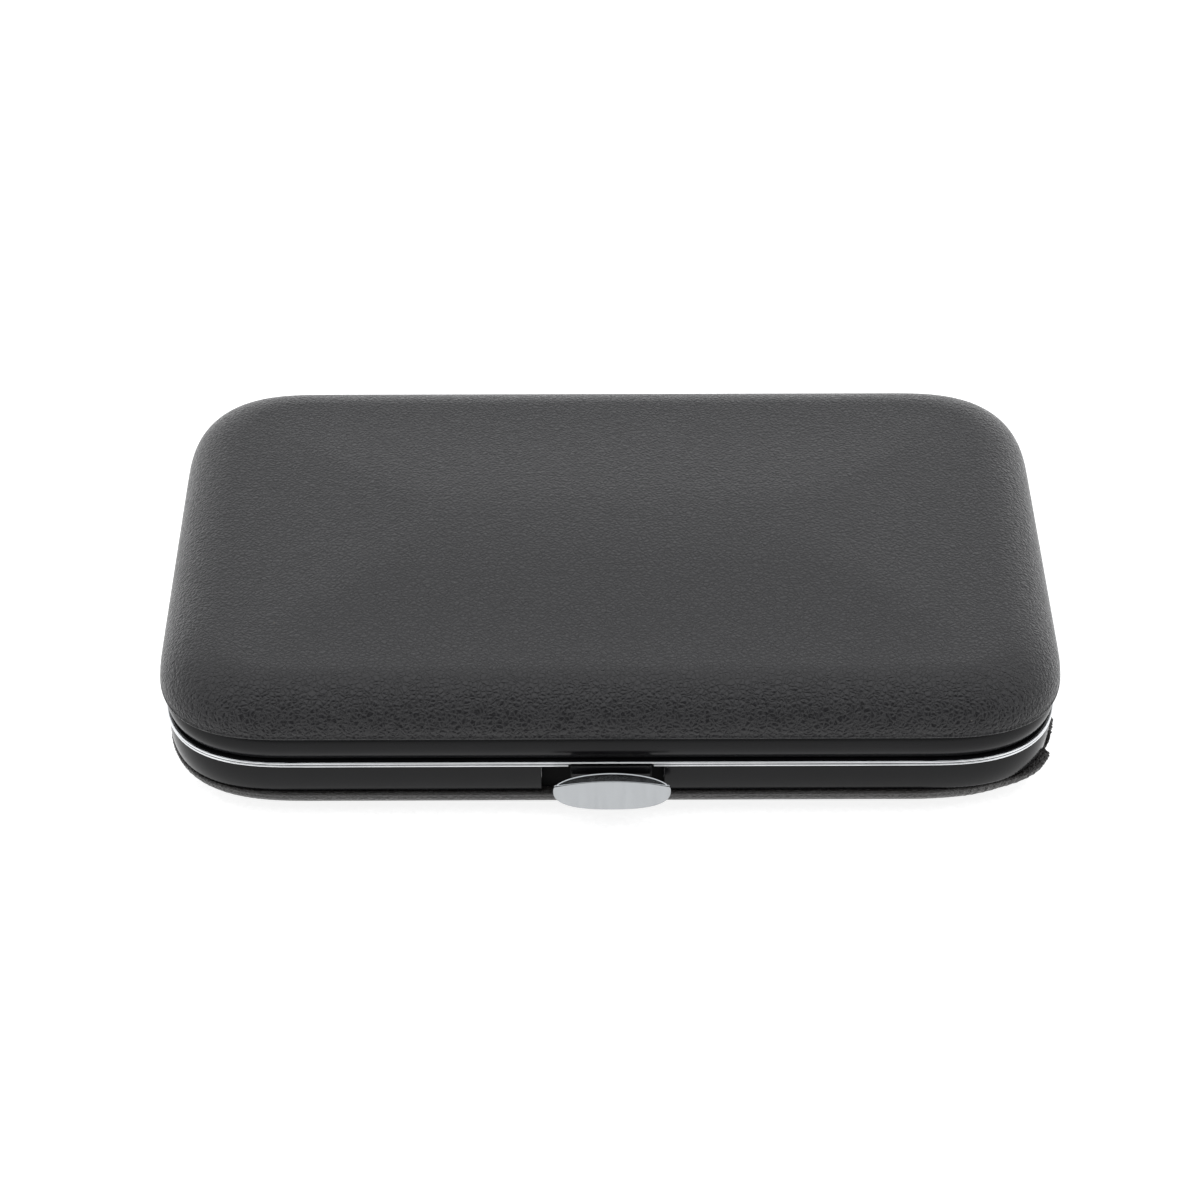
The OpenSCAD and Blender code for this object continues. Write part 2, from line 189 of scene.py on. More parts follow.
def metal(name, col=(0.78, 0.79, 0.8), rough=(0.06, 0.13), streak=None, bump=0.004, specks=False):
    m, nt, b = new_mat(name)
    L = nt.links.new
    tc = node(nt, "ShaderNodeTexCoord").outputs["Object"]
    mp = nt.nodes.new("ShaderNodeMapping")
    mp.inputs["Scale"].default_value = streak or (1, 1, 1)
    L(tc, mp.inputs["Vector"])
    n1 = node(nt, "ShaderNodeTexNoise", Scale=900.0 if streak else 260.0, Detail=5.0)
    L(mp.outputs[0], n1.inputs["Vector"])
    c = ramp(nt, n1.outputs["Fac"], [(0.25, tuple(x * 0.90 for x in col) + (1,)), (0.75, tuple(min(x * 1.04, 1) for x in col) + (1,))])
    L(c.outputs[0], b.inputs["Base Color"])
    r = ramp(nt, n1.outputs["Fac"], [(0.25, grey(rough[0])), (0.75, grey(rough[1]))])
    L(r.outputs[0], b.inputs["Roughness"])
    bp = node(nt, "ShaderNodeBump", Strength=0.5, Distance=bump * MM)
    L(n1.outputs["Fac"], bp.inputs["Height"])
    L(bp.outputs[0], b.inputs["Normal"])
    b.inputs["Metallic"].default_value = 1.0
    return m


def suede(name, col=(0.16, 0.018, 0.03)):
    m, nt, b = new_mat(name)
    L = nt.links.new
    tc = node(nt, "ShaderNodeTexCoord").outputs["Object"]
    n1 = node(nt, "ShaderNodeTexNoise", Scale=110.0, Detail=5.0, Roughness=0.6)
    L(tc, n1.inputs["Vector"])
    n2 = node(nt, "ShaderNodeTexNoise", Scale=3800.0, Detail=4.0)
    L(tc, n2.inputs["Vector"])
    f = mathn(nt, "ADD", mathn(nt, "MULTIPLY", n1.outputs["Fac"], 0.6), mathn(nt, "MULTIPLY", n2.outputs["Fac"], 0.4))
    c = ramp(nt, f, [(0.32, tuple(x * 0.6 for x in col) + (1,)), (0.68, tuple(x * 1.35 for x in col) + (1,))])
    L(c.outputs[0], b.inputs["Base Color"])
    bp = node(nt, "ShaderNodeBump", Strength=0.6, Distance=0.04 * MM)
    L(n2.outputs["Fac"], bp.inputs["Height"])
    L(bp.outputs[0], b.inputs["Normal"])
    b.inputs["Roughness"].default_value = 0.95
    b.inputs["Sheen Weight"].default_value = 0.35
    b.inputs["Sheen Roughness"].default_value = 0.4
    b.inputs["Specular IOR Level"].default_value = 0.2
    return m


def board_mat(name, col):
    m, nt, b = new_mat(name)
    L = nt.links.new
    tc = node(nt, "ShaderNodeTexCoord").outputs["Object"]
    n1 = node(nt, "ShaderNodeTexNoise", Scale=1300.0, Detail=6.0)
    L(tc, n1.inputs["Vector"])
    c = ramp(nt, n1.outputs["Fac"], [(0.3, tuple(x * 0.75 for x in col) + (1,)), (0.7, tuple(min(1, x * 1.2) for x in col) + (1,))])
    L(c.outputs[0], b.inputs["Base Color"])
    bp = node(nt, "ShaderNodeBump", Strength=0.5, Distance=0.05 * MM)
    L(n1.outputs["Fac"], bp.inputs["Height"])
    L(bp.outputs[0], b.inputs["Normal"])
    b.inputs["Roughness"].default_value = 0.9
    return m


M_TOP = leather("pebble_leather")
# the base leather is a lighter copy of the lid's leather: painted light that offsets the shade under the band and on
# the downward-facing skirt
M_SOLE = leather("pebble_leather_base", tint=(0.02, 0.0183, 0.0175), depth=0.13, dust=False)
M_BAND = satin("satin_black", col=(0.0045, 0.0045, 0.005), rough=(0.2, 0.28), spec=0.17)
# the lower band's copy of the satin black is a touch darker in colour: painted shade for the band under the lip
M_BAND_LOW = satin("satin_black_low", col=(0.0042, 0.0042, 0.0046), rough=(0.16, 0.24), spec=0.19)
M_DEEP = satin("matt_black", col=(0.003, 0.003, 0.0032), rough=(0.7, 0.8), spec=0.1)
# the latch tongue is chrome; this black is a painted reflection of the shaded back of the press plate, which its face
# mirrors
M_TONGUE = satin("tongue_black_painted_shade", col=(0.004, 0.004, 0.0045), rough=(0.12, 0.2), coat=0.0, bump=0.002, spec=0.4)
M_CHROME = metal("chrome", rough=(0.07, 0.14))
# the plate's chrome is a darker copy of the frame's: painted shade that holds down the bright floor it reflects; its
# streaks and roughness are its own finish
M_PLATE = metal("plate_chrome", col=(0.378, 0.39, 0.4), rough=(0.16, 0.26), streak=(1.0, 0.14, 0.14), bump=0.003)
M_STEEL = metal("polished_steel", col=(0.62, 0.63, 0.645), rough=(0.14, 0.24), streak=(0.12, 1.0, 1.0), bump=0.003)
M_FILE = metal("etched_steel", col=(0.5, 0.5, 0.51), rough=(0.35, 0.5), bump=0.03)
M_LINING = suede("wine_suede")
M_STRAP = leather("strap_leather", tint=(0.012, 0.012, 0.013), pitch=0.3, depth=0.04, dust=False)
M_PLASTIC = satin("black_plastic", col=(0.014, 0.014, 0.015), rough=(0.38, 0.5))
M_FOAM = board_mat("foam", (0.75, 0.72, 0.62))
M_BOARD = board_mat("grey_board", (0.42, 0.38, 0.31))
M_THREAD = board_mat("thread", (0.035, 0.034, 0.036))


def paint(name, mat):
    o = N[name]
    o.data.materials.clear()
    o.data.materials.append(mat)


for names, mat in [
    (("upper_frame", "lower_frame", "thumb_plate", "scissor_screw"), M_CHROME),
    # the tongue gets the black painted reflection of shade in place of its chrome
    (("latch_tongue",), M_TONGUE),
    (("hinge_pin", "lid_rivets", "base_rivets", "latch_hook", "latch_rivets", "latch_spring",
      "cuticle_pusher", "scissor_half_a", "scissor_half_b", "tweezers"), M_STEEL),
    (("file_blade",), M_FILE),
    (("file_handle", "latch_guide"), M_PLASTIC),
    (("latch_shroud",), M_DEEP),
    (("upper_band", "lower_band"), M_BAND),
    (("top_foam_pad", "bottom_foam_pad"), M_FOAM),
    (("top_board", "bottom_board"), M_BOARD),
    (("lid_lining", "base_lining", "tool_card"), M_LINING),
    (("lid_loops", "scissor_loops", "tweezer_loop"), M_STRAP),
    (("top_cover_leather",), M_TOP),
    (("bottom_cover_leather",), M_SOLE),
]:
    for n in names:
        paint(n, mat)


# ---------------------------------------------------------------- outlines
def spow(c, p):
    return math.copysign(abs(c) ** p, c)


def outline(s, nc=26, nx=30, ny=14, hx=HX, hy=HY, cr=CR, pw=PW):
    """Points of the case outline stepped in by s, anticlockwise from +X, -Y side."""
    r = max(cr - s, 4.0) if s < min(hx, hy) - 5 else max(min(hx, hy) - s - 0.4, 0.2)
    cx, cy = hx - s - r, hy - s - r
    pts = []
    quads = [((1, -1), 0), ((1, 1), 1), ((-1, 1), 2), ((-1, -1), 3)]
    for (sx, sy), q in quads:
        for i in range(nc + 1):
            t = math.pi / 2 * i / nc
            c, d = spow(math.cos(t), 2 / pw) * r, spow(math.sin(t), 2 / pw) * r
            # t runs so that the loop goes anticlockwise
            if q == 0:
                pts.append((cx + d, -cy - c))
            elif q == 1:
                pts.append((cx + c, cy + d))
            elif q == 2:
                pts.append((-cx - d, cy + c))
            else:
                pts.append((-cx - c, -cy - d))
        a = pts[-1]
        nxt = {0: (cx + r, cy), 1: (-cx, cy + r), 2: (-cx - r, -cy), 3: (cx, -cy - r)}[q]
        k = ny if q in (0, 2) else nx
        for j in range(1, k):
            f = j / k
            pts.append((a[0] + (nxt[0] - a[0]) * f, a[1] + (nxt[1] - a[1]) * f))
    return pts


def smooth(o, angle=40):
    me = o.data
    for p in me.polygons:
        p.use_smooth = True
    me.set_sharp_from_angle(angle=math.radians(angle))


def mesh_obj(name, verts, faces, mat, body, sharp=40, repl=(), slot=None):
    me = bpy.data.meshes.new(name)
    me.from_pydata([(x * MM, y * MM, z * MM) for x, y, z in verts], [], faces)
    me.validate()
    bm = bmesh.new()
    bm.from_mesh(me)
    bmesh.ops.remove_doubles(bm, verts=bm.verts, dist=1e-7)
    bmesh.ops.recalc_face_normals(bm, faces=bm.faces)
    bm.to_mesh(me)
    bm.free()
    o = bpy.data.objects.new(name, me)
    bpy.context.scene.collection.objects.link(o)
    me.materials.append(mat)
    smooth(o, sharp)
    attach(o, body)
    if repl:
        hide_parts(*repl)
    return o


def loft(name, prof, mat, body, closed=True, caps=(False, False), bend=None, cr=None, nc=26, **kw):
    """prof is a list of (inset, z). closed joins the last ring to the first."""
    loops = [[(x, y, z) for x, y in outline(s, nc=nc, cr=cr or CR)] for s, z in prof]
    if bend:
        loops = [[bend(x, y, z, k) for x, y, z in lp] for k, lp in enumerate(loops)]
    n = len(loops[0])
    verts = [p for lp in loops for p in lp]
    faces = []
    rng = range(len(loops)) if closed else range(len(loops) - 1)
    for k in rng:
        a, b = k * n, ((k + 1) % len(loops)) * n
        for i in range(n):
            j = (i + 1) % n
            faces.append((a + i, a + j, b + j, b + i))
    if caps[0]:
        faces.append(tuple(range(n)))
    if caps[1]:
        faces.append(tuple(range((len(loops) - 1) * n, len(loops) * n)))
    return mesh_obj(name, verts, faces, mat, body, **kw)


# ---------------------------------------------------------------- padded lid
def dome_profile(ze, rise, inset, d):
    """Side of a pad from its edge up: rolled bead at the edge, then the swell."""
    p = []
    for k in range(1, 23):
        t = math.pi / 2 * k / 22
        p.append((inset * (1 - math.cos(t)), ze + d * rise * math.sin(t)))
    return p


def edge_bead(ze, d, r=0.34):
    """Turned edge of the leather: a small roll that runs under to the band."""
    out = [(2.4, ze - d * 0.0), (1.5, ze - d * 0.0)]
    for k in range(0, 10):
        a = math.radians(-90 + 15 * k)
        out.append((r + 0.02 - r * math.cos(a) if a > -math.pi / 2 else r, ze + d * (r * 0.8 + r * 0.8 * math.sin(a))))
    return out


top = edge_bead(ZT + 0.02, 1)
side = [q for q in dome_profile(ZT, RISE, INSET, 1) if q[1] > ZT + 0.85]
cr = []
for k in range(1, 15):
    u = k / 14
    cr.append((INSET + u * 28.6, ZT + RISE + CROWN * 0.5 * (1 - math.cos(math.pi * u)) ** 1.0))
prof_top = top + side + cr
pad_top = loft("lid_leather", prof_top, M_TOP, "lid", closed=False, caps=(False, True), sharp=60, cr=CR_SKIN,
               repl=("top_cover_leather",), slot="leather_black")


# ---------------------------------------------------------------- base pad
def corner_angle(x, y):
    """Angle round the nearest corner centre, or None outside the corners."""
    cx, cy = math.copysign(HX - CR, x), math.copysign(HY - CR, y)
    inx, iny = abs(x) > HX - CR, abs(y) > HY - CR
    if not (inx and iny):
        return None
    return math.atan2(y - cy, x - cx)


def step(v, lo, hi):
    u = max(0.0, min(1.0, (v - lo) / (hi - lo)))
    return u * u * (3 - 2 * u)


def gather(x, y, z, k):
    """Pleats where the leather is gathered round the corners of the base,
    and the loose fold that stands out at the front right corner."""
    skirt = step(z, 1.2, 3.4)
    a = corner_angle(x, y)
    if x > 0 and y < 12 and skirt > 0:
        # the edge rides up a little along the right-hand side
        deg = math.degrees(a) if a is not None else (0.0 if y > -(HY - CR) else -90.0)
        if y > -(HY - CR) or a is not None:
            z += 1.7 * skirt * step(deg, -27.5, -24.5) * (1 - step(y, -24.5, -20.5))
    if a is None or skirt <= 0:
        return (x, y, z)
    cx, cy = math.copysign(HX - CR, x), math.copysign(HY - CR, y)
    rel = Vector((x - cx, y - cy))
    deg = math.degrees(a)
    mid = 1 - abs(abs(deg) % 90 - 45) / 45
    front_right = x > 0 and y < 0
    amp = (0.07 if front_right else 0.03) * step(mid, 0.0, 0.5)
    u = a * 19.0
    wave = math.sin(u * 12.3) + 0.7 * math.sin(u * 17.9 + 1.3) + 0.5 * math.sin(u * 7.7 + 0.4)
    off = amp * skirt * wave
    if front_right:
        off += skirt * (0.95 * step(deg, -56, -36) * (1 - step(deg, -31, -28.5)))
        off -= skirt * 0.3 * step(deg, -90, -72) * (1 - step(deg, -60, -46))
        off += skirt * 0.45 * step(deg, -28, -25.5) * (1 - step(y, -24.5, -20.5))
    if rel.length > 1:
        rel = rel * (1 + off / rel.length)
    return (cx + rel.x, cy + rel.y, z + 0.5 * amp * skirt * math.sin(u * 12.3 + 1.0))


bot = edge_bead(ZB - 0.02, -1)
side = [q for q in dome_profile(ZB, ZB, SOLE, -1) if q[1] < ZB - 0.75]
prof_bot = [(2.2 - SET, ZB - 0.02), (1.2, ZB - 0.02)] + bot[2:] + side
prof_bot = [(s + SET, z) for s, z in prof_bot]
# its lighter leather tint is painted light against the shade under the band
pad_bot = loft("base_leather", prof_bot, M_SOLE, "base", closed=False, caps=(False, True), bend=gather, sharp=60, cr=20.8, nc=170,
               repl=("bottom_cover_leather",), slot="leather_black")

# ---------------------------------------------------------------- bands
up = [(2.41, ZT - 0.04), (0.9, ZT - 0.04), (0.85, ZT - 0.08), (0.78, ZT - 0.18), (0.75, ZT - 0.3)]
# it flares out to the leather at its top and stands upright at its foot
for k in range(1, 15):
    u = k / 14
    up.append((0.75 - 1.43 * u + 1.65 * u * u, ZT - 0.32 - 3.13 * u))
# a thin black flange at its foot lies over the lip
up += [(0.99, ZP + 0.89), (1.08, ZP + 0.83), (1.45, ZP + 0.8), (1.5, ZP + 0.64), (1.44, ZP + 0.47), (1.2, ZP + 0.44), (0.86, ZP + 0.44), (0.81, ZP + 0.42),
       (0.81, ZP + 0.385), (1.2, ZP + 0.38), (2.41, ZP + 0.38)]
loft("lid_band", up, M_BAND, "lid", repl=("upper_band",), slot="band_black", sharp=50)
# the lower band is cut out round the latch, so its CAD solid stays


# ---------------------------------------------------------------- rolled rim edges
def path_tube(name, pts, r, mat, body, closed=False, seg=10, squash=1.0, **kw):
    """Tube with round section along a level path, its section in the path's normal and Z."""
    n = len(pts)
    verts, faces = [], []
    for i, (x, y, z) in enumerate(pts):
        a = pts[(i - 1) % n] if closed or i else pts[0]
        b = pts[(i + 1) % n] if closed or i < n - 1 else pts[-1]
        t = Vector((b[0] - a[0], b[1] - a[1], 0)).normalized()
        nrm = Vector((t.y, -t.x, 0))
        for k in range(seg):
            w = 2 * math.pi * k / seg
            verts.append((x + nrm.x * r * math.cos(w), y + nrm.y * r * math.cos(w), z + r * squash * math.sin(w)))
    for i in range(n if closed else n - 1):
        a, b = i * seg, ((i + 1) % n) * seg
        for k in range(seg):
            j = (k + 1) % seg
            faces.append((a + k, a + j, b + j, b + k))
    if not closed:
        faces.append(tuple(range(seg)))
        faces.append(tuple(range((n - 1) * seg, n * seg)))
    return mesh_obj(name, verts, faces, mat, body, **kw)


def rim_path(s, z, skip_x=30.3):
    """Outline without its stretch at the hinge."""
    pts = outline(s)
    back = [i for i, (x, y) in enumerate(pts) if y > HY - s - 0.2 and abs(x) < skip_x]
    start = (max(back) + 1) % len(pts)
    run = [pts[(start + i) % len(pts)] for i in range(len(pts) - len(back))]
    return [(x, y, z) for x, y in run]


path_tube("lid_rim_roll", rim_path(0.63, ZP + 0.2), 0.14, M_CHROME, "lid", seg=12, slot="chrome", sharp=80)
lip = rim_path(0.63, ZP - 0.2)
# the base's roll stops either side of the tongue
gap_i = [i for i, p in enumerate(lip) if p[1] < 0 and abs(p[0]) < 5.5]
left = lip[:min(gap_i)] + [(-5.5, lip[min(gap_i)][1], ZP - 0.2)]
right = [(5.5, lip[max(gap_i)][1], ZP - 0.2)] + lip[max(gap_i) + 1:]
path_tube("base_rim_roll_left", left, 0.14, M_CHROME, "base", seg=12, slot="chrome", sharp=80)
path_tube("base_rim_roll_right", right, 0.14, M_CHROME, "base", seg=12, slot="chrome", sharp=80)

# ---------------------------------------------------------------- lower band, cut out at the latch
dn = [(2.41, ZB + 0.04), (1.3, ZB + 0.04), (1.22, ZB + 0.08), (1.12, ZB + 0.2)]
# its face leans back towards the top and turns under at the foot
sl, H_B = 1.08, 3.75
for k in range(0, 16):
    u = k / 15
    dn.append((sl, ZB + 0.25 + H_B * u))
    sl += math.tan(math.radians(-17 + 28 * ((k + 0.5) / 15))) * H_B / 15
dn += [(sl - 0.02, ZP - 0.62), (sl + 0.05, ZP - 0.48), (sl + 0.2, ZP - 0.43), (2.0, ZP - 0.42), (2.41, ZP - 0.42)]


def open_loft(name, prof, x0, x1, mat, body, **kw):
    """The loft without its front stretch from x0 to x1, its ends closed."""
    loops = []
    for s, z in prof:
        pts = outline(s)
        front = [i for i, (x, y) in enumerate(pts) if y < -(HY - s) + 0.05 and x0 < x < x1]
        start = (max(front) + 1) % len(pts)
        run = [pts[(start + i) % len(pts)] for i in range(len(pts) - len(front))]
        yy = -(HY - s)
        loops.append([(x1, yy, z)] + [(x, y, z) for x, y in run] + [(x0, yy, z)])
    m = min(len(lp) for lp in loops)
    loops = [lp if len(lp) == m else [lp[0]] + lp[1 + (len(lp) - m):] for lp in loops]
    verts = [p for lp in loops for p in lp]
    faces = []
    for k in range(len(loops)):
        a, b = k * m, ((k + 1) % len(loops)) * m
        for i in range(m - 1):
            faces.append((a + i, a + i + 1, b + i + 1, b + i))
    faces.append(tuple(k * m for k in range(len(loops))))
    faces.append(tuple(k * m + m - 1 for k in range(len(loops))))
    return mesh_obj(name, verts, faces, mat, body, **kw)


# its slightly darker satin black is painted shade
open_loft("base_band", dn, -9.0, 6.9, M_BAND_LOW, "base", repl=("lower_band",), slot="band_black", sharp=50)

# ---------------------------------------------------------------- press plate
PY, PZ = -HY - 1.85, ZP - 0.9
HALF_W, LOW, TOPV, LOW_C = 7.57, 4.1, 1.43, 1.3
T_LOW, T_TOP, BEND = 12.0, 78.0, 0.1
PX = 0.1


def plate_frame(v, x):
    """Where the sheet is at height v along its face, and its normal there."""
    def tau(q):
        # the fold runs in a shallow arc, lower at the ends
        u = max(0.0, min(1.0, (q + 0.013 * x * x + BEND / 2) / BEND))
        u = u * u * (3 - 2 * u)
        return math.radians(T_LOW + (T_TOP - T_LOW) * u + 0.9 * (q + 1.5) * (1 - u))
    # walk along the sheet from the flat of the lower face
    v0 = -1.5
    t0 = math.radians(T_LOW)
    y, z = PY + math.sin(t0) * v0, PZ + math.cos(t0) * v0
    n = max(2, int(abs(v - v0) / 0.02))
    for i in range(n):
        q = v0 + (v - v0) * (i + 0.5) / n
        t = tau(q)
        y += math.sin(t) * (v - v0) / n
        z += math.cos(t) * (v - v0) / n
    t = tau(v)
    return y, z, -math.cos(t), math.sin(t)


def oval_pt(t, s):
    """Edge of the oval at angle t stepped in by s, in the unfolded sheet."""
    c, d = math.cos(t), math.sin(t)
    if d >= 0:
        return ((HALF_W - s) * c, -LOW_C + (TOPV + LOW_C - s) * d)
    q = 2 / 2.6
    return ((HALF_W - s) * spow(c, q), -LOW_C + (LOW - LOW_C - s) * spow(d, q))


def press_plate():
    n = 120
    verts, faces = [], []

    def ring(s, h, bead):
        for k in range(n):
            t = 2 * math.pi * k / n
            x, v = oval_pt(t, s)
            up_side = max(0.0, min(1.0, (math.sin(t) + 0.1) / 0.45))
            y, z, ny, nz = plate_frame(v, x)
            hh = h + bead * up_side
            verts.append((PX + x, y + ny * hh, z + nz * hh))
    prof = [(0.35, -0.6, 0), (0.1, -0.58, 0), (0.0, -0.5, 0), (0.0, -0.16, 0.03), (0.02, -0.08, 0.07), (0.06, -0.04, 0.09),
            (0.11, -0.015, 0.07), (0.16, -0.005, 0.02), (0.22, 0.0, 0.0)]
    prof += [(0.22 + (LOW_C * 1.62 - 0.22) * k / 44, 0.0, 0.0) for k in range(1, 45)]
    for s, h, bead in prof:
        ring(s, h, bead)
    for i in range(len(prof) - 1):
        for k in range(n):
            j = (k + 1) % n
            faces.append((i * n + k, i * n + j, (i + 1) * n + j, (i + 1) * n + k))
    last = (len(prof) - 1) * n
    # both closing faces are strips across the oval
    for base in (0, last):
        for k in range(n // 4):
            a, b = k, k + 1
            for p, q in (((n // 2 - a) % n, (n // 2 - b) % n),):
                faces.append((base + a, base + b, base + q, base + p))
            if k < n // 4:
                a2, b2 = (n - k) % n, n - k - 1
                p2, q2 = n // 2 + k, n // 2 + k + 1
                faces.append((base + a2, base + b2, base + q2, base + p2))
    return mesh_obj("press_plate", verts, faces, M_PLATE, "latch", repl=("thumb_plate",), slot="chrome", sharp=50)


press_plate()


# ---------------------------------------------------------------- softened CAD shapes
def soften(name, node_name, width, body, mat, seg=3, angle=35, clamp=True):
    """Copy of a CAD solid with its edges rounded."""
    src = N[node_name]
    me = src.data.copy()
    bm = bmesh.new()
    bm.from_mesh(me)
    bmesh.ops.remove_doubles(bm, verts=bm.verts, dist=2e-6)
    bmesh.ops.dissolve_limit(bm, angle_limit=math.radians(1.5), verts=bm.verts, edges=bm.edges)
    bm.to_mesh(me)
    bm.free()
    o = bpy.data.objects.new(name, me)
    bpy.context.scene.collection.objects.link(o)
    me.materials.clear()
    me.materials.append(mat)
    md = o.modifiers.new("bevel", "BEVEL")
    md.width = width * MM
    md.segments = seg
    md.limit_method = "ANGLE"
    md.angle_limit = math.radians(angle)
    md.use_clamp_overlap = clamp
    md.harden_normals = False
    dg = bpy.context.evaluated_depsgraph_get()
    new = bpy.data.meshes.new_from_object(o.evaluated_get(dg))
    o.modifiers.clear()
    o.data = new
    smooth(o, 38)
    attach(o, body)
    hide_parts(node_name)
    return o


soften("scissor_a", "scissor_half_a", 0.42, "base", M_STEEL, seg=4)
soften("scissor_b", "scissor_half_b", 0.42, "scissor_arm", M_STEEL, seg=4)
soften("tweezer_arms", "tweezers", 0.25, "base", M_STEEL)
soften("file_grip", "file_handle", 0.45, "lid", M_PLASTIC, seg=4)
soften("pusher", "cuticle_pusher", 0.14, "lid", M_STEEL)
# the tongue's black is a painted reflection of the shade behind the press plate
soften("tongue", "latch_tongue", 0.09, "latch", M_TONGUE, seg=2)
# the leaf spring gets a mesh of its own; on the real latch it flattens against the back of its guide as the plate is
# pressed
leaf = soften("leaf_spring", "latch_spring", 0.04, "base", M_STEEL, seg=2)
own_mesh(leaf)


# ---------------------------------------------------------------- linings
def panel(name, s, z0, z1, r, mat, body, repl, cut=None, swell=0.0):
    """Lined card: level sheet with a turned, rounded edge and a slight swell."""
    d = 1 if z1 > z0 else -1
    prof = [(s + 1.0, z0), (s + 0.02, z0), (s, z0 + d * 0.05)]
    for k in range(1, 8):
        t = math.pi / 2 * k / 7
        prof.append((s + r * (1 - math.cos(t)), z1 - d * r + d * r * math.sin(t)))
    for k in range(1, 10):
        u = k / 9
        prof.append((s + r + u * (34.5 - s - r), z1 + d * swell * math.sin(math.pi / 2 * u)))
    return loft(name, prof, mat, body, closed=False, caps=(True, True), repl=repl, slot="lining", sharp=60)


lin = panel("lid_suede", 3.06, ZT - 0.42, ZT - 0.78, 0.12, M_LINING, "lid", ("lid_lining",))
lin = panel("base_suede", 3.06, 4.92, 5.28, 0.12, M_LINING, "base", ("base_lining",))
crd = soften("tool_bed", "tool_card", 0.28, "base", M_LINING, seg=4)


# ---------------------------------------------------------------- strap loops
def strap(name, x0, x1, y0, y1, zf, zt, t, mat, body, flip=1, feet=(1.6, 1.6)):
    """Leather loop over a tool, its feet flat on the card. zf is the card, zt the inner top."""
    def path(off):
        p = []
        r = min(0.9, (y1 - y0) / 2, abs(zt - zf))
        if feet[0] > 0:
            p += [(y0 - t - feet[0], zf + flip * (0.02 + off)), (y0 - t - 0.25, zf + flip * (0.02 + off))]
        else:
            p += [(y0 - off - 0.02, zf + flip * 0.02)]
        top_z = zt + flip * off
        for k in range(7):
            a = math.pi / 2 * k / 6
            p.append((y0 - off + (r + off * 0.5) * (1 - math.cos(a)), top_z - flip * (r + off * 0.5) * (1 - math.sin(a))))
        for k in range(7):
            a = math.pi / 2 * (1 - k / 6)
            p.append((y1 + off - (r + off * 0.5) * (1 - math.cos(a)), top_z - flip * (r + off * 0.5) * (1 - math.sin(a))))
        if feet[1] > 0:
            p += [(y1 + t + 0.25, zf + flip * (0.02 + off)), (y1 + t + feet[1], zf + flip * (0.02 + off))]
        else:
            p += [(y1 + off + 0.02, zf + flip * 0.02)]
        return p
    inner, outer = path(0.0), path(t)
    loop2 = inner + outer[::-1]
    n = len(loop2)
    verts = [(x, y, z) for x in (x0, x1) for y, z in loop2]
    faces = [(i, (i + 1) % n, n + (i + 1) % n, n + i) for i in range(n)]
    m = len(inner)
    for b in (0, n):
        for i in range(m - 1):
            faces.append((b + i, b + i + 1, b + n - 2 - i, b + n - 1 - i))
    o = mesh_obj(name, verts, faces, mat, body, slot="strap", sharp=35)
    bm = bmesh.new()
    bm.from_mesh(o.data)
    edges = [e for e in bm.edges if len(e.link_faces) == 2 and e.calc_face_angle(0) > math.radians(60)]
    bmesh.ops.bevel(bm, geom=edges, offset=0.12 * MM, segments=2, affect="EDGES", clamp_overlap=True)
    bm.to_mesh(o.data)
    bm.free()
    smooth(o, 40)
    return o


def stitches(name, x0, x1, y, z, body, flip=1, along="x", pitch=0.95):
    """A row of short thread stitches lying on a strap."""
    verts, faces = [], []
    n = int((x1 - x0) / pitch)
    for i in range(n):
        c = x0 + pitch * (i + 0.5)
        seg, rs = 6, 0.09
        base = len(verts)
        for k in range(5):
            u = -0.5 + k / 4
            hgt = 0.05 + 0.06 * math.cos(math.pi * u)
            for j in range(seg):
                w = 2 * math.pi * j / seg
                rr = rs * (0.55 if k in (0, 4) else 1.0)
                a, b = u * pitch * 0.66, rr * math.cos(w)
                zz = z + flip * (hgt + rr * math.sin(w))
                verts.append((c + a, y + b, zz) if along == "x" else (y + b, c + a, zz))
        for k in range(4):
            for j in range(seg):
                q = (j + 1) % seg
                faces.append((base + k * seg + j, base + k * seg + q, base + (k + 1) * seg + q, base + (k + 1) * seg + j))
        faces.append(tuple(base + j for j in range(seg)))
        faces.append(tuple(base + 4 * seg + j for j in range(seg)))
    return mesh_obj(name, verts, faces, M_THREAD, body, slot="strap")


